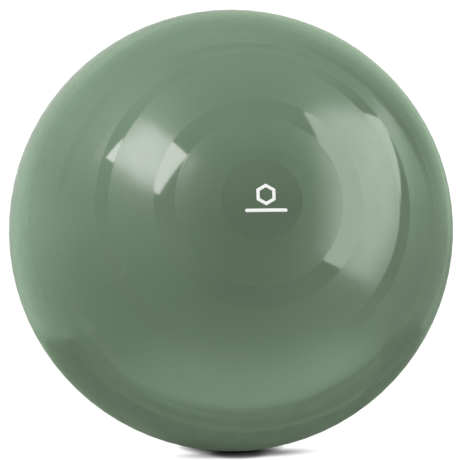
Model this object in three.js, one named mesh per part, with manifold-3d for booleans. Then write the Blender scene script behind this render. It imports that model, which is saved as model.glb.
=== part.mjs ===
// Exercise ball standing on the floor: a thin inflated PVC skin moulded in one piece with ribbed and
// smooth belts round its pole axis, the valve seat moulded into it at the rear pole, and the plug
// that stops the valve and pulls straight out.
// Millimetres, +Z up. The origin is the middle of the flat patch on which the ball rests. The front
// pole faces -Y and looks a little upwards.
import * as THREE from "three";
import { mergeVertices } from "three/addons/utils/BufferGeometryUtils.js";
import Module from "manifold-3d";

const wasm = await Module();
wasm.setup();

// The inflated ball
const BALL_RADIUS = 325; // half of the 650 mm nominal size, measured level over the ribbed belts
const SAG = 0.9945; // its own weight makes the ball this much lower than it is wide
const CONTACT_RADIUS = 36; // flat patch on the floor
const WALL = 0.6; // PVC skin at the smooth belts, stretched by inflation
const POLE_TILT = 13; // degrees that the front pole looks up
const GAP = 0.3; // clearance between neighbouring pieces

// The belts, as angles from the nearer pole in degrees: these are smooth and the rest is ribbed
const SMOOTH_BELTS = [
  [0, 10],
  [20.8, 26.5],
  [38.5, 42.8],
  [52.4, 55.9],
  [66, 69.5],
];
const BELT_STEP = 0.1; // smooth belts are this much lower than the crests of the ribs
const BELT_STEP_WIDTH = 0.2; // degrees
const TILTED_BELT = 54.1; // middle of the belt whose ring isn't square to the pole axis
const TILTED_BELT_REACH = 11.3; // degrees on each side over which the tilt fades away
const BELT_TILT = 5.5; // degrees
const BELT_TILT_DIRECTION = 192; // degrees clockwise from the top, seen from the front
const AROUND = 48; // facets round the pole axis
const RING_SPACING = 6.2; // largest facet along the axis, degrees

// The valve, measured along its axis from the skin's outer surface, inwards negative
const SEAT_RIM_RADIUS = 14; // flat rim round the plug's head
const SEAT_FACE = -0.4; // a flat rim lies a little under the round skin
const SEAT_FLANGE_RADIUS = 19; // spreads the seat under the skin
const SEAT_FLANGE_TOP = -2.2;
const SEAT_FLANGE_THICKNESS = 2;
const SEAT_TUBE_RADIUS = 8;
const SEAT_END = -26; // inner end of the tube
const BORE_RADIUS = 4.5;
const BORE_MOUTH_CHAMFER = 0.8;
const RECESS_RADIUS = 10.3; // holds the plug's head
const RECESS_FLOOR = -2.9;
const NOTCH_WIDTH = 6; // lets a fingernail under the head
const NOTCH_REACH = 12.4; // from the axis
const NOTCH_FLOOR = -2.3;

// The plug
const HEAD_RADIUS = RECESS_RADIUS - GAP;
const HEAD_TOP = 0; // level with the skin
const HEAD_EDGE_DROP = 0.6; // height lost towards the head's edge
const STEM_RADIUS = 3.9;
const STEM_LENGTH = 21.5; // under the head
const STEM_TIP_RADIUS = 3;
const STEM_TIP_LENGTH = 2.5;
const SEAL_RING_RADIUS = BORE_RADIUS - GAP;
const SEAL_RING_HEIGHT = 1.6;
const SEAL_RING_DEPTHS = [5, 10, 15]; // under the head
const CORE_RADIUS = 1.8; // hollow moulded up the stem from its tip
const CORE_DEPTH = 15;
const VALVE_AROUND = 40; // facets round the valve

const SMOOTH_RADIUS = BALL_RADIUS - BELT_STEP;
const CENTRE_HEIGHT = BALL_RADIUS * SAG * Math.sqrt(1 - (CONTACT_RADIUS / BALL_RADIUS) ** 2);
const radians = THREE.MathUtils.degToRad;

const skinPvc = new THREE.MeshStandardMaterial({ color: 0x6d8a72, roughness: 0.28, metalness: 0 });
const seatPvc = new THREE.MeshStandardMaterial({ color: 0x66816b, roughness: 0.45, metalness: 0 });
const plugPlastic = new THREE.MeshStandardMaterial({ color: 0xf0f0ec, roughness: 0.4, metalness: 0 });

// A closed geometry as a solid that can be joined and cut.
function solid(geometry) {
  const bare = geometry.clone();
  bare.deleteAttribute("normal");
  bare.deleteAttribute("uv");
  const merged = mergeVertices(bare, 1e-4);
  return new wasm.Manifold(
    new wasm.Mesh({
      numProp: 3,
      vertProperties: merged.attributes.position.array,
      triVerts: new Uint32Array(merged.index.array),
    }),
  );
}

// A solid as a named mesh of the scene graph.
function piece(name, made, material) {
  const { numProp, numVert, vertProperties, triVerts } = made.getMesh();
  const points = new Float32Array(numVert * 3);
  for (let i = 0; i < numVert; i++) {
    points.set(vertProperties.subarray(i * numProp, i * numProp + 3), i * 3);
  }
  const geometry = new THREE.BufferGeometry();
  geometry.setAttribute("position", new THREE.BufferAttribute(points, 3));
  geometry.setIndex(new THREE.BufferAttribute(triVerts, 1));
  geometry.computeVertexNormals();
  const mesh = new THREE.Mesh(geometry, material);
  mesh.name = name;
  return mesh;
}

// A turned geometry about +Y. Outline points are [radius, height], bottom to top.
function turned(outline, around) {
  return new THREE.LatheGeometry(
    outline.map(([radius, height]) => new THREE.Vector2(radius, height)),
    around,
  );
}

// Points of a round stretch of outline, between two angles from the rear pole in degrees.
function arc(from, to, radius) {
  const steps = Math.ceil((to - from) / RING_SPACING);
  return Array.from({ length: steps + 1 }, (_, i) => {
    const angle = radians(from + ((to - from) * i) / steps);
    return [radius * Math.sin(angle), -radius * Math.cos(angle)];
  });
}

// Outline of the skin's outer surface: ribbed belts stand a step above the smooth ones.
function beltedOutline() {
  const rear = SMOOTH_BELTS;
  const front = SMOOTH_BELTS.map(([from, to]) => [180 - to, 180 - from]).reverse();
  const outline = [];
  let ribbedFrom = 0;
  for (const [from, to] of [...rear, ...front]) {
    const start = from > 0 ? from + BELT_STEP_WIDTH / 2 : 0;
    const end = to < 180 ? to - BELT_STEP_WIDTH / 2 : 180;
    if (from > 0) {
      outline.push(...arc(ribbedFrom, from - BELT_STEP_WIDTH / 2, BALL_RADIUS));
    }
    outline.push(...arc(start, end, SMOOTH_RADIUS));
    ribbedFrom = to + BELT_STEP_WIDTH / 2;
  }
  return outline;
}

// Leans the rings near one belt of each half over, without moving them off the sphere.
function leanTiltedBelt(geometry) {
  const positions = geometry.attributes.position;
  const point = new THREE.Vector3();
  const axis = new THREE.Vector3(0, 1, 0);
  const sideways = new THREE.Vector3();
  for (let i = 0; i < positions.count; i++) {
    point.fromBufferAttribute(positions, i);
    const fromPole = THREE.MathUtils.radToDeg(point.angleTo(axis));
    const toBelt = Math.abs(Math.min(fromPole, 180 - fromPole) - TILTED_BELT);
    const share = THREE.MathUtils.smoothstep(TILTED_BELT_REACH - toBelt, 0, TILTED_BELT_REACH);
    const clockwise = Math.atan2(point.x, -point.z) - radians(BELT_TILT_DIRECTION);
    sideways.crossVectors(axis, point).normalize();
    if (share > 0) {
      point.applyAxisAngle(sideways, radians(BELT_TILT) * share * Math.cos(clockwise));
    }
    positions.setXYZ(i, point.x, point.y, point.z);
  }
  return geometry;
}

// A shape turned about the pole axis, set up as the ball stands and cut off level near the floor.
function standing(geometry, floor) {
  const place = new THREE.Matrix4().makeTranslation(0, 0, CENTRE_HEIGHT);
  place.multiply(new THREE.Matrix4().makeScale(1, 1, SAG));
  place.multiply(new THREE.Matrix4().makeRotationX(radians(180 - POLE_TILT)));
  const below = new THREE.BoxGeometry(BALL_RADIUS, BALL_RADIUS, BALL_RADIUS);
  below.translate(0, 0, floor - BALL_RADIUS / 2);
  return solid(geometry.applyMatrix4(place)).subtract(solid(below));
}

// The frame of the valve: its origin on the skin at the rear pole, +Y straight out of the ball.
function valveFrame() {
  const tilt = radians(POLE_TILT);
  const frame = new THREE.Group();
  frame.position.set(
    0,
    SMOOTH_RADIUS * Math.cos(tilt),
    CENTRE_HEIGHT - SMOOTH_RADIUS * SAG * Math.sin(tilt),
  );
  frame.rotation.x = -Math.atan2(Math.sin(tilt) / SAG, Math.cos(tilt));
  frame.updateMatrix();
  return frame;
}

// The one-piece skin: an inflated shell, with the hole that the valve seat fills.
function ballSkin(frame) {
  const outer = standing(leanTiltedBelt(turned(beltedOutline(), AROUND)), 0);
  const inner = standing(turned(arc(0, 180, SMOOTH_RADIUS - WALL), AROUND), WALL);
  const holeRadius = SEAT_RIM_RADIUS + GAP;
  const hole = new THREE.CylinderGeometry(holeRadius, holeRadius, 40, VALVE_AROUND);
  return outer.subtract(inner).subtract(solid(hole.applyMatrix4(frame.matrix)));
}

// The valve seat: rim and head recess, flange bonded under the skin, and the tube with the bore.
function valveSeat() {
  const flangeBottom = SEAT_FLANGE_TOP - SEAT_FLANGE_THICKNESS;
  const outline = [
    [BORE_RADIUS, SEAT_END],
    [SEAT_TUBE_RADIUS - 1, SEAT_END],
    [SEAT_TUBE_RADIUS, SEAT_END + 1],
    [SEAT_TUBE_RADIUS, flangeBottom - 2],
    [SEAT_TUBE_RADIUS + 2, flangeBottom],
    [SEAT_FLANGE_RADIUS - 0.5, flangeBottom],
    [SEAT_FLANGE_RADIUS, flangeBottom + 0.5],
    [SEAT_FLANGE_RADIUS, SEAT_FLANGE_TOP],
    [SEAT_RIM_RADIUS, SEAT_FLANGE_TOP],
    [SEAT_RIM_RADIUS, SEAT_FACE],
    [RECESS_RADIUS, SEAT_FACE],
    [RECESS_RADIUS, RECESS_FLOOR],
    [BORE_RADIUS + BORE_MOUTH_CHAMFER, RECESS_FLOOR],
    [BORE_RADIUS, RECESS_FLOOR - BORE_MOUTH_CHAMFER],
    [BORE_RADIUS, SEAT_END],
  ];
  const notch = new THREE.BoxGeometry(NOTCH_REACH, 10, NOTCH_WIDTH);
  notch.translate(NOTCH_REACH / 2, NOTCH_FLOOR + 5, 0);
  return solid(turned(outline, VALVE_AROUND)).subtract(solid(notch));
}

// The plug: a domed head, and a cored stem with sealing rings.
function valvePlug() {
  const underHead = RECESS_FLOOR + GAP;
  const tip = underHead - STEM_LENGTH;
  const outline = [
    [0, tip + CORE_DEPTH],
    [CORE_RADIUS * 0.6, tip + CORE_DEPTH],
    [CORE_RADIUS, tip],
    [STEM_TIP_RADIUS, tip],
    [STEM_RADIUS, tip + STEM_TIP_LENGTH],
  ];
  for (const depth of SEAL_RING_DEPTHS.toReversed()) {
    const middle = underHead - depth;
    outline.push([STEM_RADIUS, middle - SEAL_RING_HEIGHT / 2]);
    outline.push([SEAL_RING_RADIUS, middle - SEAL_RING_HEIGHT / 6]);
    outline.push([SEAL_RING_RADIUS, middle + SEAL_RING_HEIGHT / 6]);
    outline.push([STEM_RADIUS, middle + SEAL_RING_HEIGHT / 2]);
  }
  outline.push([STEM_RADIUS, underHead]);
  outline.push([HEAD_RADIUS, underHead]);
  outline.push([HEAD_RADIUS, HEAD_TOP - HEAD_EDGE_DROP - 0.5]);
  outline.push([HEAD_RADIUS - 0.7, HEAD_TOP - HEAD_EDGE_DROP]);
  outline.push([HEAD_RADIUS / 2, HEAD_TOP - HEAD_EDGE_DROP / 4]);
  outline.push([0, HEAD_TOP]);
  return solid(turned(outline, VALVE_AROUND));
}

const ball = new THREE.Group();
const valve = valveFrame();
ball.add(piece("ball_skin", ballSkin(valve), skinPvc));
valve.add(piece("valve_seat", valveSeat(), seatPvc));
valve.add(piece("valve_plug", valvePlug(), plugPlastic));
ball.add(valve);

export default ball;
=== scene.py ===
"""Exercise ball in soft glossy PVC, standing on a pale floor in a studio. Metres, +Z up."""
import math

import bpy
import numpy as np
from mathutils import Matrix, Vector


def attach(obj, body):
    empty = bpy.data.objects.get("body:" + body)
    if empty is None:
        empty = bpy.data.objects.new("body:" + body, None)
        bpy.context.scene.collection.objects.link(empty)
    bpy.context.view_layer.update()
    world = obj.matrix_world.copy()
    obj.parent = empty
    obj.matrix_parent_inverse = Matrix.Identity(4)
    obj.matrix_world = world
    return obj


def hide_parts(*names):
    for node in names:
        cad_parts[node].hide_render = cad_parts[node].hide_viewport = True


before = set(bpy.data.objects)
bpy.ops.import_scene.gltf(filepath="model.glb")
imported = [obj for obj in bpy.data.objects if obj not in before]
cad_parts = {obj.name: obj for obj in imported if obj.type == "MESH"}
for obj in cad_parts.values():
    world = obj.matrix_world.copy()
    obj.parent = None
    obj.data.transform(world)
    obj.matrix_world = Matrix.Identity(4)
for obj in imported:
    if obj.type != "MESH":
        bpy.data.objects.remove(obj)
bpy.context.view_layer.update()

MM = 0.001

# ---------------------------------------------------------------- the ball's shape, as in the CAD
BALL_RADIUS = 325 * MM
SAG = 0.9945  # its own weight makes the ball this much lower than it is wide
CONTACT_RADIUS = 36 * MM  # flat patch on the floor
POLE_TILT = math.radians(13)  # how far the front pole looks up
BELT_STEP = 0.1 * MM  # how far the smooth belts lie below BALL_RADIUS
BELT_STEP_WIDTH = math.radians(0.4)  # twice the CAD's
SMOOTH_BELTS = ((0, 10), (20.8, 26.5), (38.5, 42.8), (52.4, 55.9), (66, 69.5))  # degrees from the front pole
TILTED_BELT = math.radians(54.1)  # middle of the belt whose ring isn't square to the pole axis
TILTED_BELT_REACH = math.radians(11.3)  # on each side, over which the tilt fades away
BELT_TILT = math.radians(5.5)
BELT_TILT_DIRECTION = math.radians(192)  # clockwise from the top, seen from the front
SMOOTH_RADIUS = BALL_RADIUS - BELT_STEP
WALL = 0.6 * MM
CENTRE = Vector((0, 0, BALL_RADIUS * SAG * math.sqrt(1 - (CONTACT_RADIUS / BALL_RADIUS) ** 2)))

POLE = Vector((0, -math.cos(POLE_TILT), math.sin(POLE_TILT)))
POLE_UP = Vector((0, math.sin(POLE_TILT), math.cos(POLE_TILT)))
POLE_RIGHT = Vector((1, 0, 0))

# ---------------------------------------------------------------- the fine skin
SEGMENTS = 80  # round the pole axis
RIB_PITCH = 2.0 * MM
RIB_HEIGHT = 0.15 * MM  # of the rounded wave; with three rings to a rib the mesh has 0.11 mm of it
RINGS_PER_RIB = 3
SMOOTH_SPACING = math.radians(1.1)
EDGE_RING = math.radians(0.12)  # a ring this close to a smooth belt's edge keeps its gloss true up to there
INNER_SPACING = math.radians(7)
PARTING_WIDTH = 0.5 * MM
PARTING_HEIGHT = 0.12 * MM  # of its sharp crest; the nearest rings stand 0.04 mm above the ribs
FLOOR_BLEND = 1.2 * MM  # height over which the skin curves down onto the floor

HOLE_RADIUS = 14.3 * MM
HOLE_LIP = 0.35 * MM
LIP_CORNER = 0.3  # share of the lip at which its rounded edge turns


def smoothstep(x):
    x = np.clip(x, 0, 1)
    return x * x * (3 - 2 * x)


def on_ball(angle, around, radius):
    """Points at an angle from the front pole and clockwise around it, on the sagged ball."""
    angle, around, radius = np.broadcast_arrays(angle, around, radius)
    from_pole = np.minimum(angle, math.pi - angle)
    share = smoothstep(1 - np.abs(from_pole - TILTED_BELT) / TILTED_BELT_REACH)
    leaning = angle + BELT_TILT * share * np.cos(around - BELT_TILT_DIRECTION)
    outwards = (
        np.multiply.outer(np.cos(leaning), np.array(POLE))
        + (np.sin(leaning) * np.cos(around))[..., None] * np.array(POLE_UP)
        + (np.sin(leaning) * np.sin(around))[..., None] * np.array(POLE_RIGHT)
    )
    points = outwards * radius[..., None]
    points[..., 2] *= SAG
    return points + np.array(CENTRE)


def flattened(points, floor):
    """The ball's own weight presses its lowest part flat on the floor."""
    height = points[..., 2] - floor
    gap = np.maximum(FLOOR_BLEND - np.abs(height), 0)
    points[..., 2] = floor + np.maximum(height, 0) + gap**2 / (4 * FLOOR_BLEND)
    return points


def smooth_ring_angles(start, end, spacing):
    count = max(1, math.ceil((end - start) / spacing))
    return [start + (end - start) * i / count for i in range(count + 1)]


def outer_rings():
    """(angle, radius, ribbed) of every ring of the outer surface, from the front pole to the valve's hole."""
    hole = math.pi - math.asin((HOLE_RADIUS + HOLE_LIP) / SMOOTH_RADIUS)
    front = [(math.radians(a), math.radians(b)) for a, b in SMOOTH_BELTS]
    rear = [(math.pi - b, math.pi - a) for a, b in reversed(front)]
    rings = []
    ribbed_from = None
    for start, end in front + rear:
        if ribbed_from is not None:
            rings += ribbed_rings(ribbed_from, start - BELT_STEP_WIDTH / 2)
            start += BELT_STEP_WIDTH / 2
        end = hole if end > hole else end - BELT_STEP_WIDTH / 2
        angles = smooth_ring_angles(start, end, SMOOTH_SPACING)
        angles.insert(-1, end - EDGE_RING)
        if start:
            angles.insert(1, start + EDGE_RING)
        rings += [(a, SMOOTH_RADIUS, False) for a in angles]
        ribbed_from = end + BELT_STEP_WIDTH
    return rings


def ribbed_rings(start, end):
    """Rounded ribs side by side, level at both ends, and the mould's parting line where the belt holds it."""
    count = RINGS_PER_RIB * round((end - start) * BALL_RADIUS / RIB_PITCH)
    rings = []
    for i in range(count + 1):
        angle = start + (end - start) * i / count
        wave = -math.cos(math.tau * min(max(i, 1), count - 1) / RINGS_PER_RIB)
        from_parting = abs(angle - math.pi / 2) * BALL_RADIUS
        flash = PARTING_HEIGHT * max(0, 1 - from_parting / PARTING_WIDTH)
        rings.append((angle, BALL_RADIUS - RIB_HEIGHT / 2 + RIB_HEIGHT / 2 * wave + flash, True))
    return rings


def build_skin():
    """The skin's vertices, its faces and each face's material slot: 0 smooth, 1 ribbed."""
    rings = outer_rings()
    angles = np.array([r[0] for r in rings[1:]])
    radii = np.array([r[1] for r in rings[1:]])
    ribbed = [r[2] for r in rings[1:]]
    around = np.arange(SEGMENTS) * math.tau / SEGMENTS
    outer = flattened(on_ball(angles[:, None], around[None, :], radii[:, None]), 0)

    # the rounded edge of the hole, then the inner surface back to the front pole
    hole = math.asin(HOLE_RADIUS / SMOOTH_RADIUS)
    lip = [
        (math.pi - hole - HOLE_LIP * LIP_CORNER / SMOOTH_RADIUS, SMOOTH_RADIUS - HOLE_LIP * LIP_CORNER),
        (math.pi - hole, SMOOTH_RADIUS - HOLE_LIP),
        (math.pi - hole, SMOOTH_RADIUS - WALL),
    ]
    inside = [(a, SMOOTH_RADIUS - WALL) for a in smooth_ring_angles(0, math.pi - hole, INNER_SPACING)]
    back = lip + inside[-2:0:-1]
    back_angles = np.array([r[0] for r in back])
    back_radii = np.array([r[1] for r in back])
    inner = flattened(on_ball(back_angles[:, None], around[None, :], back_radii[:, None]), WALL)

    grid = np.concatenate([outer, inner]).reshape(-1, 3)
    count = len(angles) + len(back)
    front_out = len(grid)
    front_in = front_out + 1
    poles = np.stack([on_ball(0.0, 0.0, SMOOTH_RADIUS), on_ball(0.0, 0.0, SMOOTH_RADIUS - WALL)])
    vertices = np.concatenate([grid, poles.reshape(-1, 3)])

    faces = []
    slots = []
    for k in range(count - 1):
        rough = k < len(ribbed) - 1 and (ribbed[k] or ribbed[k + 1])
        for j in range(SEGMENTS):
            a, b = k * SEGMENTS + j, k * SEGMENTS + (j + 1) % SEGMENTS
            faces.append((a, a + SEGMENTS, b + SEGMENTS, b))
            slots.append(1 if rough else 0)
    last = (count - 1) * SEGMENTS
    for j in range(SEGMENTS):
        faces.append((front_out, j, (j + 1) % SEGMENTS))
        faces.append((front_in, last + (j + 1) % SEGMENTS, last + j))
        slots += [0, 0]
    return vertices, faces, slots


def new_mesh(name, vertices, faces):
    mesh = bpy.data.meshes.new(name)
    mesh.from_pydata([tuple(v) for v in vertices], [], faces)
    mesh.validate()
    return mesh


def new_object(name, mesh):
    made = bpy.data.objects.new(name, mesh)
    bpy.context.scene.collection.objects.link(made)
    return made


def shade_smooth(mesh):
    mesh.polygons.foreach_set("use_smooth", [True] * len(mesh.polygons))


# ---------------------------------------------------------------- materials
class Nodes:
    """A material's node tree, built a line at a time."""

    def __init__(self, name):
        self.material = bpy.data.materials.new(name)
        self.material.use_nodes = True
        self.tree = self.material.node_tree
        self.shader = self.tree.nodes["Principled BSDF"]

    def add(self, kind, inputs=None, **settings):
        node = self.tree.nodes.new(kind)
        for key, value in settings.items():
            setattr(node, key, value)
        for key, value in (inputs or {}).items():
            self.put(node.inputs[key], value)
        return node

    def put(self, socket, value):
        if isinstance(value, bpy.types.NodeSocket):
            self.tree.links.new(value, socket)
        else:
            socket.default_value = value

    def set(self, **values):
        for key, value in values.items():
            self.put(self.shader.inputs[key.replace("_", " ")], value)

    def noise(self, scale, detail=3.0, roughness=0.5, vector=None):
        vector = vector or self.add("ShaderNodeTexCoord").outputs["Object"]
        settings = {"Vector": vector, "Scale": scale, "Detail": detail, "Roughness": roughness}
        return self.add("ShaderNodeTexNoise", settings).outputs["Fac"]

    def remap(self, value, low, high, to_low, to_high):
        inputs = {"Value": value, "From Min": low, "From Max": high, "To Min": to_low, "To Max": to_high}
        return self.add("ShaderNodeMapRange", inputs).outputs["Result"]

    def maths(self, operation, first, second=0.0):
        node = self.add("ShaderNodeMath", operation=operation)
        self.put(node.inputs[0], first)
        self.put(node.inputs[1], second)
        return node.outputs[0]

    def shifted(self, vector, shift):
        settings = {"Vector": vector, "Location": shift}
        return self.add("ShaderNodeMapping", settings).outputs["Vector"]

    def bump(self, height, distance_mm):
        inputs = {"Height": height, "Distance": distance_mm * MM}
        return self.add("ShaderNodeBump", inputs).outputs["Normal"]

    def mix(self, share, first, second):
        node = self.add("ShaderNodeMix", data_type="RGBA")
        for index, value in ((0, share), (6, first), (7, second)):
            self.put(node.inputs[index], value)
        return node.outputs[2]


SAGE = (0.0986, 0.1447, 0.0953)
SAGE_RIBBED = (0.0920, 0.1435, 0.0912)
CLOUD = 0.95  # the colour's share left in its darker clouds
POLISH_TINT = (0.93, 1.0, 0.92, 1)
HAZE_TINT = (0.76, 1.0, 0.73, 1)
SHEEN = 0.34
SHEEN_TINT = (0.72, 1.0, 0.665, 1)
POLISH_ROUGHNESS = 0.07
HAZE_ROUGHNESS = 0.45
DUST = 0.12  # share of the dust's colour in its thickest specks
DUST_COLOUR = (0.30, 0.36, 0.29, 1)
SCRATCH_PALE = 0.08  # share of the dust's colour on a scratch
SCRATCH_DULL = 0.18  # roughness that a scratch adds
SCRATCHES = (  # the way they lie, waves per metre across and along, width
    ((0.2, 0.75, 0.1), 60.0, 5.0, 0.010),
    ((0.4, -0.55, 1.3), 75.0, 7.0, 0.009),
)
WAVE_DEPTH_MM = 0.05
INK = (0.80, 0.82, 0.80, 1)
INK_THIN = (0.62, 0.67, 0.62, 1)
SEAT_DEEP, SEAT_PALE = (0.085, 0.126, 0.083, 1), (0.095, 0.140, 0.093, 1)
PLUG_CLEAN, PLUG_DIRTY = (0.66, 0.66, 0.63, 1), (0.53, 0.52, 0.49, 1)


def hairlines(nodes, turn, across, along, width):
    """Thin broken scratches, all lying one way: 1 on a scratch, 0 off it."""
    where = nodes.add("ShaderNodeTexCoord").outputs["Object"]
    settings = {"Vector": where, "Rotation": turn, "Scale": (1 / across, 1 / along, 1 / along)}
    stretched = nodes.add("ShaderNodeMapping", settings, vector_type="TEXTURE").outputs["Vector"]
    height = nodes.noise(1.0, 1.0, 0.3, stretched)
    off = nodes.maths("ABSOLUTE", nodes.maths("SUBTRACT", height, 0.5))
    line = nodes.remap(off, width, 0.0, 0.0, 1.0)
    rare = nodes.remap(nodes.noise(7.0, 2.0, 0.5, nodes.shifted(where, turn)), 0.60, 0.68, 0.0, 1.0)
    return nodes.maths("MULTIPLY", line, rare)


def pvc(name, tone, roughness):
    """Soft glossy PVC: clouds in the colour, an uneven polish, hairline scratches, a little dust."""
    nodes = Nodes(name)
    cloud = nodes.remap(nodes.noise(5.0, 4.0), 0.3, 0.7, 0.0, 1.0)
    deep = tuple(channel * CLOUD for channel in tone)
    colour = nodes.mix(cloud, (*deep, 1), (*tone, 1))
    dust = nodes.remap(nodes.noise(210.0, 3.0, 0.7), 0.70, 0.76, 0.0, DUST)
    colour = nodes.mix(dust, colour, DUST_COLOUR)
    scratched = 0.0
    for turn, across, along, width in SCRATCHES:
        scratched = nodes.maths("MAXIMUM", scratched, hairlines(nodes, turn, across, along, width))
    colour = nodes.mix(nodes.maths("MULTIPLY", scratched, SCRATCH_PALE), colour, DUST_COLOUR)
    smear = nodes.remap(nodes.noise(38.0, 5.0, 0.6), 0.35, 0.75, roughness * 0.85, roughness * 1.3)
    dull = nodes.maths("ADD", smear, nodes.maths("MULTIPLY", scratched, SCRATCH_DULL))
    wavy = nodes.bump(nodes.noise(26.0, 2.0, 0.4), WAVE_DEPTH_MM)
    nodes.set(Base_Color=colour, Roughness=dull, Normal=wavy)
    nodes.set(Sheen_Weight=SHEEN, Sheen_Roughness=0.35, Sheen_Tint=SHEEN_TINT)
    return nodes


def smooth_pvc():
    nodes = pvc("pvc_smooth", SAGE, POLISH_ROUGHNESS)
    nodes.set(IOR=1.75, Specular_Tint=POLISH_TINT)
    return nodes.material


def ribbed_pvc():
    """The ribbed belts are hazy as well: a clear sheen over a broad dull one from inside the PVC."""
    nodes = pvc("pvc_ribbed", SAGE_RIBBED, HAZE_ROUGHNESS)
    nodes.set(IOR=1.5, Specular_Tint=HAZE_TINT, Coat_Weight=1.0, Coat_Roughness=0.18, Coat_IOR=1.58)
    return nodes.material


def seat_pvc():
    """The seat's thicker PVC, moulded a shade darker and duller than the skin."""
    nodes = Nodes("seat_pvc")
    cloud = nodes.remap(nodes.noise(90.0, 4.0), 0.3, 0.7, 0.0, 1.0)
    nodes.set(Base_Color=nodes.mix(cloud, SEAT_DEEP, SEAT_PALE))
    nodes.set(Roughness=nodes.remap(nodes.noise(700.0, 3.0), 0.3, 0.7, 0.32, 0.46), IOR=1.53)
    nodes.set(Normal=nodes.bump(nodes.noise(2600.0, 3.0), 0.03))
    return nodes.material


def plug_plastic():
    """Off-white polyethylene, fine-grained from the mould, a little dirty in the grain."""
    nodes = Nodes("plug_plastic")
    dirt = nodes.remap(nodes.noise(160.0, 6.0, 0.65), 0.45, 0.75, 0.0, 1.0)
    nodes.set(Base_Color=nodes.mix(dirt, PLUG_CLEAN, PLUG_DIRTY))
    nodes.set(Roughness=nodes.remap(nodes.noise(900.0, 3.0), 0.3, 0.7, 0.36, 0.5), IOR=1.51)
    nodes.set(Normal=nodes.bump(nodes.noise(1900.0, 4.0), 0.04))
    nodes.set(Subsurface_Weight=0.25, Subsurface_Scale=0.002)
    return nodes.material


def print_ink():
    """White pad-printed ink, a touch thin and uneven."""
    nodes = Nodes("print_ink")
    thin = nodes.remap(nodes.noise(420.0, 5.0, 0.7), 0.55, 0.8, 0.0, 1.0)
    nodes.set(Base_Color=nodes.mix(thin, INK, INK_THIN))
    nodes.set(Roughness=nodes.remap(nodes.noise(900.0, 3.0), 0.3, 0.7, 0.3, 0.42), IOR=1.5)
    return nodes.material


# ---------------------------------------------------------------- the valve's fine shapes
# (from the axis, out of the ball, edge rounding) in millimetres from the skin at the rear pole
SEAT_OUTLINE = (
    (4.5, -3.7, 0.4), (4.5, -26, 0.5), (8, -26, 1.2), (8, -6.2, 1.5), (10.5, -4.2, 1.2),
    (19, -4.2, 0.6), (19, -2.2, 0.6), (14, -2.2, 0.3), (14, -0.4, 0.5), (10.3, -0.4, 0.35),
    (10.3, -2.9, 0.4), (5.3, -2.9, 0.3),
)
NOTCH_REACH, NOTCH_HALF_WIDTH, NOTCH_FLOOR, NOTCH_SOFTNESS = 12.2, 2.8, -2.3, 0.5
PLUG_TIP = -24.1
PLUG_TIP_RADIUS, PLUG_TIP_LENGTH = 3, 2.5
PLUG_CORE_RADIUS, PLUG_CORE_END_RADIUS = 1.8, 1.1  # hollow moulded up the stem from its tip
PLUG_CORE_TOP = PLUG_TIP + 15
STEM_RADIUS = 3.9
SEAL_RING_RADIUS = 4.2
SEAL_RING_BASE, SEAL_RING_FLAT = 0.8, 0.25  # half its height at the stem and at its crest
HEAD_DIMPLE = -0.2  # the injection point in the middle of the head
HEAD_OUTLINE = (
    (STEM_RADIUS, -2.6, 0.35), (9.9, -2.6, 0.3), (10, -1.2, 0.7), (7.2, -0.25, 3.0),
    (2.2, -0.02, 0.4), (1.5, HEAD_DIMPLE, 0.3),
)
SEAL_RING_MIDDLES = (-17.6, -12.6, -7.6)
VALVE_AROUND = 160
CORNER_STEPS = 5  # straights in a rounded corner
CORNER_SHARE = 0.45  # of a side's length that one corner may use
CORNER_EASE = 0.1  # straight kept beside a corner, as a share of its reach

VALVE_TILT = math.atan2(math.sin(POLE_TILT) / SAG, math.cos(POLE_TILT))
VALVE_OUT = Vector((0, math.cos(VALVE_TILT), -math.sin(VALVE_TILT)))
VALVE_UP = Vector((0, math.sin(VALVE_TILT), math.cos(VALVE_TILT)))
VALVE_PLACE = CENTRE + SMOOTH_RADIUS * Vector((0, math.cos(POLE_TILT), -SAG * math.sin(POLE_TILT)))


def rounded(outline, closed):
    """The outline with each corner turned into a short curve; a little straight is kept on each side."""
    points = [Vector(corner[:2]) for corner in outline]
    made = []
    for i, (corner, spec) in enumerate(zip(points, outline)):
        if not closed and i in (0, len(points) - 1):
            made.append(corner)
            continue
        before, after = points[i - 1], points[(i + 1) % len(points)]
        back, ahead = before - corner, after - corner
        reach = min(spec[2], back.length * CORNER_SHARE, ahead.length * CORNER_SHARE)
        first = corner + back.normalized() * reach
        last = corner + ahead.normalized() * reach
        made.append(first + back.normalized() * reach * CORNER_EASE)
        for step in range(CORNER_STEPS + 1):
            share = step / CORNER_STEPS
            made.append(first * (1 - share) ** 2 + corner * 2 * share * (1 - share) + last * share**2)
        made.append(last + ahead.normalized() * reach * CORNER_EASE)
    return [tuple(point) for point in made]


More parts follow.
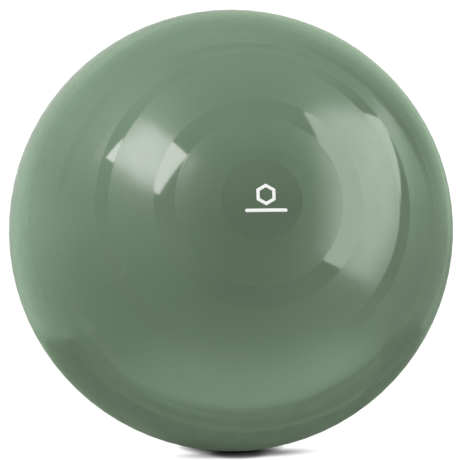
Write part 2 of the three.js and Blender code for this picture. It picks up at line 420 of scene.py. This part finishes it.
def turned(name, outline, closed, shape=None):
    """A fine solid turned about the valve's axis. Open outlines start and end on the axis."""
    around = np.arange(VALVE_AROUND) * math.tau / VALVE_AROUND
    rings = np.array(outline)
    if not closed:
        rings = rings[1:-1]
    radius, height = (np.repeat(rings[:, k, None], VALVE_AROUND, axis=1) for k in (0, 1))
    if shape:
        height = shape(radius, height, around)
    points = np.stack([radius * np.cos(around), height, radius * np.sin(around)], axis=-1).reshape(-1, 3)
    faces = []
    for k in range(len(rings) if closed else len(rings) - 1):
        for j in range(VALVE_AROUND):
            a, b = k * VALVE_AROUND + j, k * VALVE_AROUND + (j + 1) % VALVE_AROUND
            faces.append((a, b, (b + VALVE_AROUND) % len(points), (a + VALVE_AROUND) % len(points)))
    if not closed:
        ends = [(0, outline[0][1], 0), (0, outline[-1][1], 0)]
        points = np.concatenate([points, ends])
        last = (len(rings) - 1) * VALVE_AROUND
        for j in range(VALVE_AROUND):
            following = (j + 1) % VALVE_AROUND
            faces.append((len(points) - 2, following, j))
            faces.append((len(points) - 1, last + j, last + following))
    axes = np.array([(1, 0, 0), VALVE_OUT, VALVE_UP])
    mesh = new_mesh(name, points * MM @ axes + np.array(VALVE_PLACE), faces)
    shade_smooth(mesh)
    return mesh


def fingernail_notch(radius, height, around):
    """Lowers the seat's rim and recess wall where a fingernail reaches under the plug's head."""
    ahead, aside = radius * np.cos(around), np.abs(radius * np.sin(around))
    across = smoothstep((NOTCH_HALF_WIDTH + NOTCH_SOFTNESS - aside) / NOTCH_SOFTNESS)
    along = smoothstep((NOTCH_REACH + NOTCH_SOFTNESS - ahead) / NOTCH_SOFTNESS)
    share = across * along * (ahead > 0) * (height > NOTCH_FLOOR)
    return height + (NOTCH_FLOOR - height) * share


def plug_outline():
    """The plug from its hollow end, over the tip and the sealing rings, to the middle of its head."""
    outline = [
        (0, PLUG_CORE_TOP, 0), (PLUG_CORE_END_RADIUS, PLUG_CORE_TOP, 0.4), (PLUG_CORE_RADIUS, PLUG_TIP, 0.3),
        (PLUG_TIP_RADIUS, PLUG_TIP, 0.4), (STEM_RADIUS, PLUG_TIP + PLUG_TIP_LENGTH, 0.6),
    ]
    for middle in SEAL_RING_MIDDLES:
        outline += [
            (STEM_RADIUS, middle - SEAL_RING_BASE, 0.2), (SEAL_RING_RADIUS, middle - SEAL_RING_FLAT, 0.25),
            (SEAL_RING_RADIUS, middle + SEAL_RING_FLAT, 0.25), (STEM_RADIUS, middle + SEAL_RING_BASE, 0.2),
        ]
    return outline + list(HEAD_OUTLINE) + [(0, HEAD_DIMPLE, 0)]


# ---------------------------------------------------------------- the printed mark
MARK_RIGHT, MARK_UP = 5.3 * MM, 0.4 * MM
INK_TOP, INK_BOTTOM = 0.07 * MM, -0.05 * MM
HEXAGON_UP, HEXAGON_OUTER, HEXAGON_INNER = 6 * MM, 15 * MM, 10 * MM
BAR_UP, BAR_HALF_LENGTH, BAR_HALF_HEIGHT = -15.5 * MM, 29 * MM, 2.3 * MM
HEXAGON_SIDE_STEPS, BAR_STEPS = 6, 16
BAR_END_TURNS = [math.radians(turn) for turn in range(8, 90, 12)]
INK_ACROSS = 3


def on_disc(right, up, height):
    """A point of the front disc, from distances right and up along the surface from its pole."""
    angle = math.hypot(right, up) / SMOOTH_RADIUS
    return tuple(on_ball(angle, math.atan2(right, up), SMOOTH_RADIUS + height))


def hexagon_rungs():
    """Pairs of points across the ring's stroke, closed on itself."""
    middle = Vector((0, HEXAGON_UP))
    corners = [Vector((math.sin(math.tau * i / 6), math.cos(math.tau * i / 6))) for i in range(7)]
    rungs = []
    for first, last in zip(corners, corners[1:]):
        for step in range(HEXAGON_SIDE_STEPS):
            way = first.lerp(last, step / HEXAGON_SIDE_STEPS)
            rungs.append((middle + way * HEXAGON_INNER, middle + way * HEXAGON_OUTER))
    return rungs


def bar_rungs():
    """Pairs of points across a bar with round ends, from left to right."""
    rungs = []
    straight = BAR_HALF_LENGTH - BAR_HALF_HEIGHT
    for turn in BAR_END_TURNS:
        rungs.append((-straight - BAR_HALF_HEIGHT * math.cos(turn), BAR_HALF_HEIGHT * math.sin(turn)))
    rungs += [(-straight + 2 * straight * i / BAR_STEPS, BAR_HALF_HEIGHT) for i in range(BAR_STEPS + 1)]
    for turn in reversed(BAR_END_TURNS):
        rungs.append((straight + BAR_HALF_HEIGHT * math.cos(turn), BAR_HALF_HEIGHT * math.sin(turn)))
    return [(Vector((x, BAR_UP - half)), Vector((x, BAR_UP + half))) for x, half in rungs]


def ink_layer(rungs, closed, vertices, faces):
    """Adds a thin closed layer of ink, curved like the ball, over a ladder of rungs."""
    row = INK_ACROSS + 1
    base = len(vertices)
    for height in (INK_TOP, INK_BOTTOM):
        for a, b in rungs:
            for k in range(row):
                point = a.lerp(b, k / INK_ACROSS)
                vertices.append(on_disc(point.x + MARK_RIGHT, point.y + MARK_UP, height))
    under = len(rungs) * row
    for i in range(len(rungs) if closed else len(rungs) - 1):
        this, following = base + i * row, base + (i + 1) % len(rungs) * row
        for k in range(INK_ACROSS):
            faces.append((this + k, this + k + 1, following + k + 1, following + k))
            below, beyond = this + under + k, following + under + k
            faces.append((below, beyond, beyond + 1, below + 1))
        for k, flip in ((0, False), (INK_ACROSS, True)):
            wall = (this + k, following + k, following + under + k, this + under + k)
            faces.append(wall[::-1] if flip else wall)
    if not closed:
        for start, flip in ((base, True), (base + (len(rungs) - 1) * row, False)):
            for k in range(INK_ACROSS):
                wall = (start + k, start + k + 1, start + under + k + 1, start + under + k)
                faces.append(wall[::-1] if flip else wall)


# ---------------------------------------------------------------- pieces
def build_piece(name, mesh, materials, body, replaced=None):
    for material in materials:
        mesh.materials.append(material)
    made = new_object(name, mesh)
    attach(made, body)
    if replaced:
        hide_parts(replaced)
    return made


vertices, faces, slots = build_skin()
skin = new_mesh("skin_moulded", vertices, faces)
shade_smooth(skin)
build_piece("skin_moulded", skin, [smooth_pvc(), ribbed_pvc()], "ball", "ball_skin")
skin.polygons.foreach_set("material_index", slots)

seat = turned("valve_seat_moulded", rounded(SEAT_OUTLINE, True), True, fingernail_notch)
build_piece("valve_seat_moulded", seat, [seat_pvc()], "ball", "valve_seat")

plug = turned("valve_plug_moulded", rounded(plug_outline(), False), False)
build_piece("valve_plug_moulded", plug, [plug_plastic()], "plug", "valve_plug")

vertices, faces = [], []
ink_layer(hexagon_rungs(), True, vertices, faces)
ink_layer(bar_rungs(), False, vertices, faces)
mark = new_mesh("printed_mark", vertices, faces)
shade_smooth(mark)
build_piece("printed_mark", mark, [print_ink()], "ball")

# ---------------------------------------------------------------- studio
# The world and the table light the ball in smooth patches: what each sends to gloss, what it sends to the
# dull colour, and the ramps (axis, where it is 0, where it is 1) that fade it in. On the world X, Y and Z
# are a direction. On the table they are metres from where the ball stands, R is the distance from there,
# and S is 1 at the edge of the ball's mirrored shadow. The strengths began as a least-squares fit to the
# photo, and were then rounded and retuned. The softboxes' corners were traced back from their
# reflections in the photo.
WORLD_LIGHT = {
    "backdrop": (0.66, 0.0, (("Y", 0.945, 0.99), ("Z", -0.2, 0.02))),
    "behind_left": (0.37, 0.0, (("Y", 0.7, 0.95), ("X", 0.05, -0.3))),
    "behind_top": (0.34, 0.0, (("Y", 0.7, 0.95), ("Z", -0.05, 0.3))),
    "overhead_low": (0.25, 1.24, (("Z", 0.2, 0.6),)),
    "overhead": (0.45, 0.0, (("Z", 0.6, 0.9),)),
    "left": (0.60, 2.5, (("X", -0.2, -0.8), ("Z", -0.6, 0.4))),
    "left_low_behind": (0.24, 0.0, (("X", -0.1, -0.6), ("Z", 0.3, 0.0), ("Y", -0.05, 0.3))),
    "left_low": (0.22, 0.2, (("X", -0.1, -0.6), ("Z", 0.3, 0.0))),
    "right": (0.16, 0.0, (("X", 0.2, 0.8), ("Z", -0.3, 0.2), ("Y", 0.6, 0.4))),
    "right_edge": (0.45, 0.0, (("X", 0.75, 0.9), ("Y", 0.6, 0.45), ("Y", 0.12, 0.27), ("Z", 0.02, 0.2))),
    "right_behind": (0.30, 0.0, (("X", 0.2, 0.5), ("Y", 0.65, 0.8), ("Z", -0.15, 0.0))),
    "right_low": (0.225, 2.4, (("X", 0.1, 0.6), ("Z", 0.3, 0.0))),
    "below": (0.044, 0.0, (("Z", 0.1, -0.1),)),
}
TABLE_LIGHT = {
    "table": (0.0, 1.62, (("R", 0.06, 0.16),)),
    "table_lit": (0.226, 0.0, (("S", 0.95, 1.05),)),
    "table_middle": (0.60, 0.0, (("S", 0.95, 1.05), ("Y", -0.5, -0.3), ("X", -0.4, -0.1), ("X", 0.5, 0.2))),
    "table_right": (0.035, 0.68, (("X", 0.08, 0.36), ("Y", -0.65, -0.5))),
}
GLOSS_TONE = (0.73, 1.0, 0.77, 1)  # what comes back out of the soft green PVC
BARE_GLOSS = (0.985, 0.88)  # Y over which gloss loses that tone: light that only grazes the skin in the photo
DARK_PLACE, DARK_SIZE = (0.06, 0.143, 0), (0.585, 0.362, 1)  # the shadow that the ball's lower front mirrors
TABLE_LEFT, TABLE_RIGHT, TABLE_FRONT, TABLE_BACK = -0.485, 0.63, -0.66, 0.9
TABLE_HEIGHT = -0.002
FLOOR_REACH = 30
WHITE = 1.05
SHADOW_GAP = 0.008  # how far off the floor the ball still darkens it
SHADOW_SAMPLES = 16
SHADOWS = (  # where, turned how far, how far across, where it starts to fade, the light left in the middle
    ((0.0146, -0.0600, 0), (0, 0, math.radians(6.5)), (0.124, 0.048, 1), 0.3, 0.2),
    ((0.0030, -0.0600, 0), (0, 0, math.radians(-7.66)), (0.050, 0.052, 1), 0.5, 0.35),
)


class Light:
    """An emission node tree that sends different light to gloss, to dull colour and to the camera."""

    def __init__(self, tree, lamp):
        self.tree = tree
        self.lamp = tree.nodes[lamp]
        self.strength = self.lamp.inputs["Strength"]

    def maths(self, operation, first, second):
        node = self.tree.nodes.new("ShaderNodeMath")
        node.operation = operation
        for socket, value in zip(node.inputs, (first, second)):
            self.put(socket, value)
        return node.outputs[0]

    def put(self, socket, value):
        if isinstance(value, bpy.types.NodeSocket):
            self.tree.links.new(value, socket)
        else:
            socket.default_value = value

    def ramp(self, value, low, high, least=0.0):
        node = self.tree.nodes.new("ShaderNodeMapRange")
        node.interpolation_type = "SMOOTHSTEP"
        for key, number in (("Value", value), ("From Min", low), ("From Max", high), ("To Min", least)):
            self.put(node.inputs[key], number)
        return node.outputs["Result"]

    def reach(self, where, place, turn, size):
        """0 at the middle of an oval on the ground and 1 at its edge."""
        oval = self.tree.nodes.new("ShaderNodeMapping")
        oval.vector_type = "TEXTURE"
        for key, value in (("Vector", where), ("Location", place), ("Rotation", turn), ("Scale", size)):
            self.put(oval.inputs[key], value)
        length = self.tree.nodes.new("ShaderNodeVectorMath")
        length.operation = "LENGTH"
        self.put(length.inputs[0], oval.outputs["Vector"])
        return length.outputs["Value"]

    def patches(self, table, coordinates):
        """A table of patches summed for gloss and for dull colour, and the share of gloss that is toned."""
        where = self.tree.nodes.new("ShaderNodeTexCoord").outputs[coordinates]
        axes = self.tree.nodes.new("ShaderNodeSeparateXYZ")
        self.put(axes.inputs[0], where)
        along = dict(axes.outputs.items())
        along["R"] = self.reach(where, (0, 0, 0), (0, 0, 0), (1, 1, 1))
        along["S"] = self.reach(where, DARK_PLACE, (0, 0, 0), DARK_SIZE)
        gloss, dull = 0.0, 0.0
        for to_gloss, to_dull, ramps in table.values():
            share = 1.0
            for axis, low, high in ramps:
                share = self.maths("MULTIPLY", share, self.ramp(along[axis], low, high))
            gloss = self.maths("ADD", gloss, self.maths("MULTIPLY", share, to_gloss))
            dull = self.maths("ADD", dull, self.maths("MULTIPLY", share, to_dull))
        return gloss, dull, self.ramp(along["Y"], *BARE_GLOSS)

    def send(self, gloss, dull, toned, camera):
        """Gives each kind of ray its strength, and glossy rays the tone that the PVC gives them."""
        path = self.tree.nodes.new("ShaderNodeLightPath")
        sent = dull
        for kind, value in (("Is Glossy Ray", gloss), ("Is Camera Ray", camera)):
            node = self.tree.nodes.new("ShaderNodeMix")
            self.put(node.inputs[0], path.outputs[kind])
            self.put(node.inputs[2], sent)
            self.put(node.inputs[3], value)
            sent = node.outputs[0]
        self.put(self.strength, sent)
        tone = self.tree.nodes.new("ShaderNodeMix")
        tone.data_type = "RGBA"
        toned = self.maths("MULTIPLY", path.outputs["Is Glossy Ray"], toned)
        for index, value in ((0, toned), (6, (1, 1, 1, 1)), (7, GLOSS_TONE)):
            self.put(tone.inputs[index], value)
        self.put(self.lamp.inputs["Color"], tone.outputs[2])


def emission(name, strength=1.0, colour=(1, 1, 1)):
    material = bpy.data.materials.new(name)
    material.use_nodes = True
    tree = material.node_tree
    tree.nodes.clear()
    lamp = tree.nodes.new("ShaderNodeEmission")
    lamp.inputs["Color"].default_value = (*colour, 1)
    lamp.inputs["Strength"].default_value = strength
    out = tree.nodes.new("ShaderNodeOutputMaterial")
    tree.links.new(lamp.outputs[0], out.inputs["Surface"])
    return material


def panel(name, corners, material):
    made = new_object(name, new_mesh(name, corners, [tuple(range(len(corners)))]))
    made.data.materials.append(material)
    return made


def softbox(name, facing, distance, corners, strength, colour):
    """A flat light panel square to a direction from the ball; corners are (sideways, up) in its plane."""
    facing = Vector(facing).normalized()
    sideways = Vector((0, 0, 1)).cross(facing).normalized()
    up = facing.cross(sideways)
    middle = CENTRE + facing * distance
    made = panel(name, [middle + sideways * u + up * v for u, v in corners],
                 emission(name, strength, colour))
    made.visible_camera = False
    made.visible_diffuse = False
    made.visible_shadow = False


softbox("softbox_right", (0.8, -0.6, 0), 1.5,
        [(0.045, 2.255), (-0.48, -0.24), (0.236, -0.499), (1.916, 1.605)], 3.3, (0.91, 1, 0.935))
softbox("softbox_left", (-0.72, -0.33, 0.58), 2.0,
        [(0.905, 0.31), (0.77, -0.51), (-0.472, -0.158), (-0.165, 0.54)], 6.2, (1, 0.95, 1))


def flat(left, right, front, back, height):
    return [(left, front, height), (right, front, height), (right, back, height), (left, back, height)]


def build_floor():
    """White all the way to the backdrop, with the ball's soft shadow at its foot; only the camera sees it."""
    material = emission("floor_white")
    tree = material.node_tree
    light = Light(tree, "Emission")
    near = tree.nodes.new("ShaderNodeAmbientOcclusion")
    near.inputs["Distance"].default_value = SHADOW_GAP
    near.samples = SHADOW_SAMPLES
    where = tree.nodes.new("ShaderNodeTexCoord").outputs["Object"]
    left = light.maths("MULTIPLY", near.outputs["AO"], WHITE)
    for place, turn, size, fading, darkest in SHADOWS:
        out = light.ramp(light.reach(where, place, turn, size), fading, 1.0, darkest)
        left = light.maths("MULTIPLY", left, out)
    light.put(light.strength, left)
    floor = panel("floor", flat(-FLOOR_REACH, FLOOR_REACH, -FLOOR_REACH, FLOOR_REACH, 0), material)
    floor.visible_glossy = False
    floor.visible_diffuse = False


def build_table():
    """What the ball mirrors and gathers from the table under it; the camera doesn't see it."""
    material = emission("table_light")
    light = Light(material.node_tree, "Emission")
    light.send(*light.patches(TABLE_LIGHT, "Object"), WHITE)
    table = panel("table", flat(TABLE_LEFT, TABLE_RIGHT, TABLE_FRONT, TABLE_BACK, TABLE_HEIGHT), material)
    table.visible_camera = False
    table.visible_shadow = False


def build_world():
    world = bpy.data.worlds.new("studio")
    bpy.context.scene.world = world
    world.use_nodes = True
    world.cycles.sampling_method = "NONE"
    light = Light(world.node_tree, "Background")
    light.send(*light.patches(WORLD_LIGHT, "Generated"), WHITE)


build_floor()
build_table()
build_world()

# ---------------------------------------------------------------- camera
CAMERA_DISTANCE = 12 * BALL_RADIUS
CAMERA_AZIMUTH = math.radians(-7.66)
CAMERA_ELEVATION = math.radians(5.5)
BALL_SHARE = 0.96147  # of the frame's half width
CAMERA_RISE = 0.0007  # above the line to the ball's middle
SENSOR_WIDTH = 36  # in millimetres, as Blender has it
toward_camera = Vector((
    math.sin(CAMERA_AZIMUTH) * math.cos(CAMERA_ELEVATION),
    -math.cos(CAMERA_AZIMUTH) * math.cos(CAMERA_ELEVATION),
    math.sin(CAMERA_ELEVATION),
))
camera = bpy.data.objects.new("camera", bpy.data.cameras.new("camera"))
bpy.context.scene.collection.objects.link(camera)
camera.data.sensor_width = SENSOR_WIDTH
seen_radius = BALL_RADIUS / math.sqrt(CAMERA_DISTANCE**2 - BALL_RADIUS**2)
camera.data.lens = BALL_SHARE * SENSOR_WIDTH / 2 / seen_radius
camera.location = CENTRE + toward_camera * CAMERA_DISTANCE + Vector((0, 0, CAMERA_RISE))
camera.rotation_euler = (-toward_camera).to_track_quat("-Z", "Y").to_euler()
bpy.context.scene.camera = camera

bpy.context.scene.view_settings.view_transform = "Standard"
